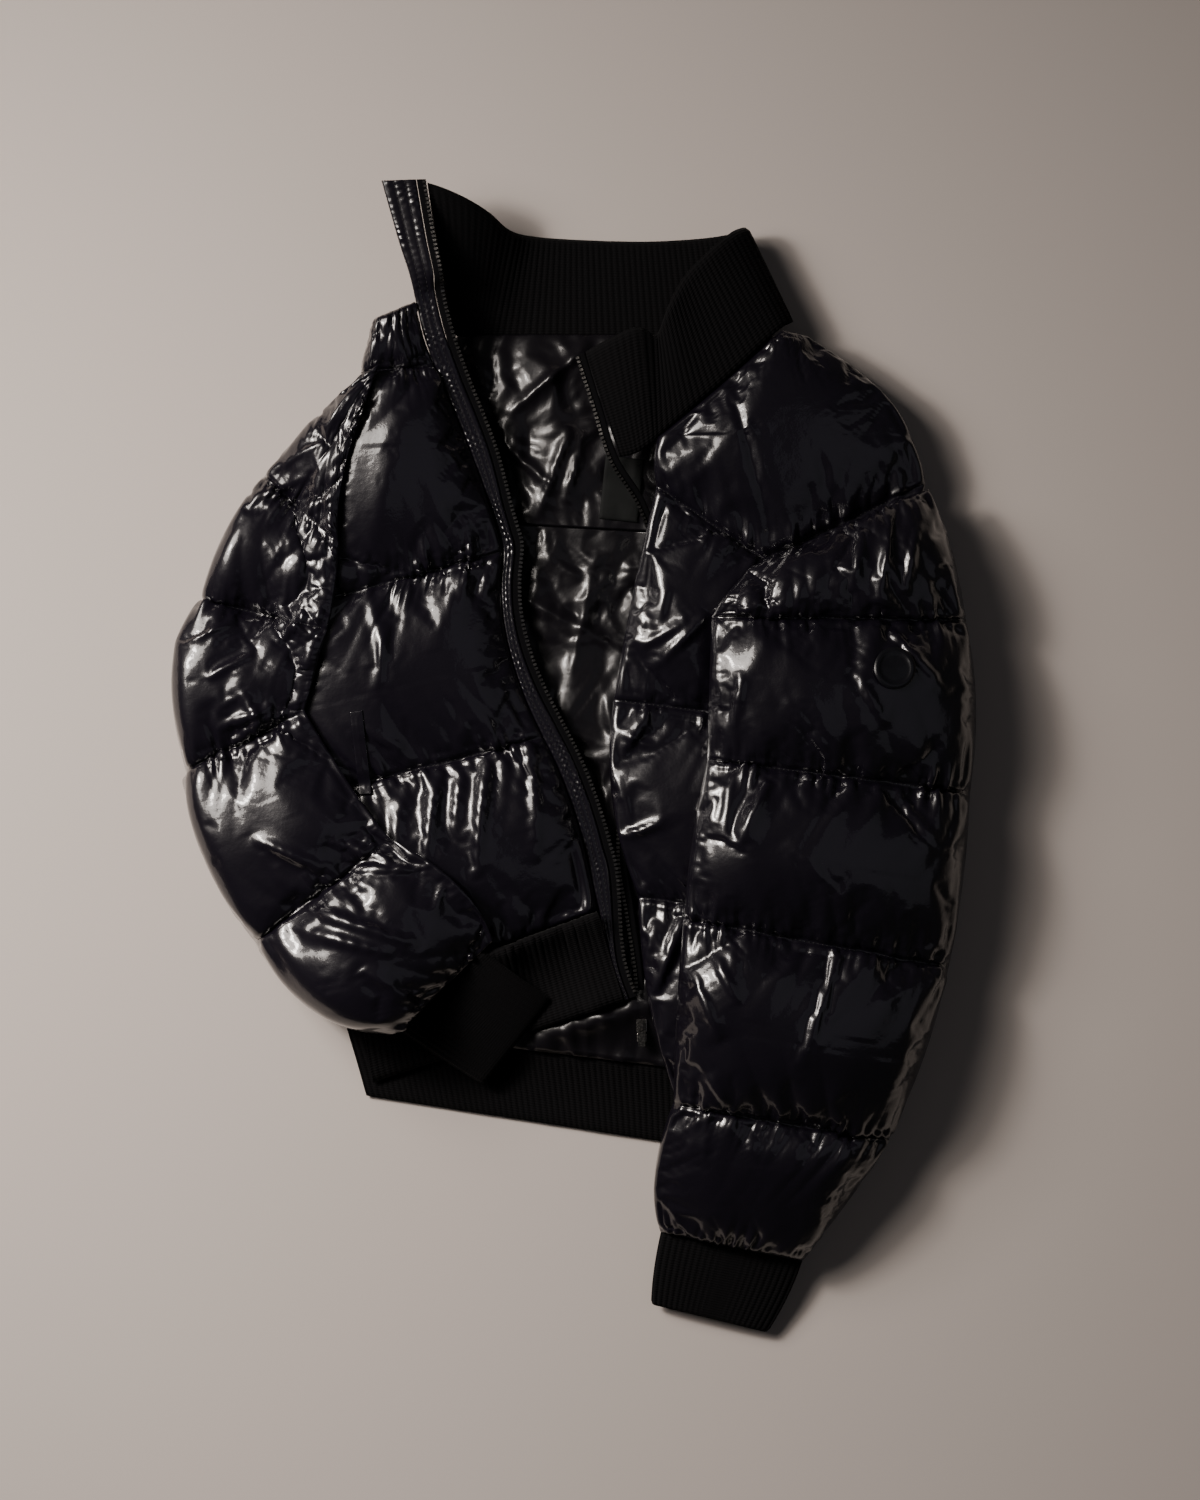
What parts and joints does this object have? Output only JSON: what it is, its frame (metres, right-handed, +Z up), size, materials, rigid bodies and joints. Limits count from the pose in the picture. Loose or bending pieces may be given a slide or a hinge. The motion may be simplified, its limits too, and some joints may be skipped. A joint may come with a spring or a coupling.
{
  "type": "puffer jacket",
  "caption": "Cropped glossy puffer jacket with a rib-knit stand collar, cuffs and hem, laid flat on its back with its front zip open.",
  "frame": {"origin": "the flat underside of the back, on the surface that the jacket lies on, under about the middle of the whole object", "axes": "+X towards the wearer's left, +Y from hem to collar, +Z up from the surface"},
  "size_m": [0.579, 0.8313, 0.102],
  "materials": {
    "nylon": "glossy black coated nylon shell, quilted over fill",
    "lining": "black satin taffeta lining",
    "rib_knit": "matt black doubled rib knit",
    "zip_tape": "black woven zip tape with black moulded teeth",
    "zip_metal": "plated zinc slider, box and pull"
  },
  "bodies": {
    "jacket": {"back": "nylon", "front_right": "nylon", "front_left": "nylon", "sleeve_right": "nylon", "sleeve_left": "nylon", "placket_right": "nylon", "pocket_welt_right": "nylon", "sleeve_patch_left": "nylon", "back_lining_yoke": "lining", "back_lining": "lining", "inner_label": "lining", "collar": "rib_knit", "cuff_right": "rib_knit", "cuff_left": "rib_knit", "hem_rib_back": "rib_knit", "hem_rib_front_right": "rib_knit", "hem_rib_front_left": "rib_knit", "zip_tape_right": "zip_tape", "zip_tape_left": "zip_tape", "zip_box_left": "zip_metal", "zip_slider": "zip_metal"},
    "pull": {"pull_tab": "zip_metal"}
  },
  "joints": [
    {"name": "pull_swing", "type": "hinge", "parent": "jacket", "child": "pull", "pos_m": [0.0495, -0.1954, 0.0279], "axis": [-1, 0, 0], "range_deg": [0, 150]}
  ]
}
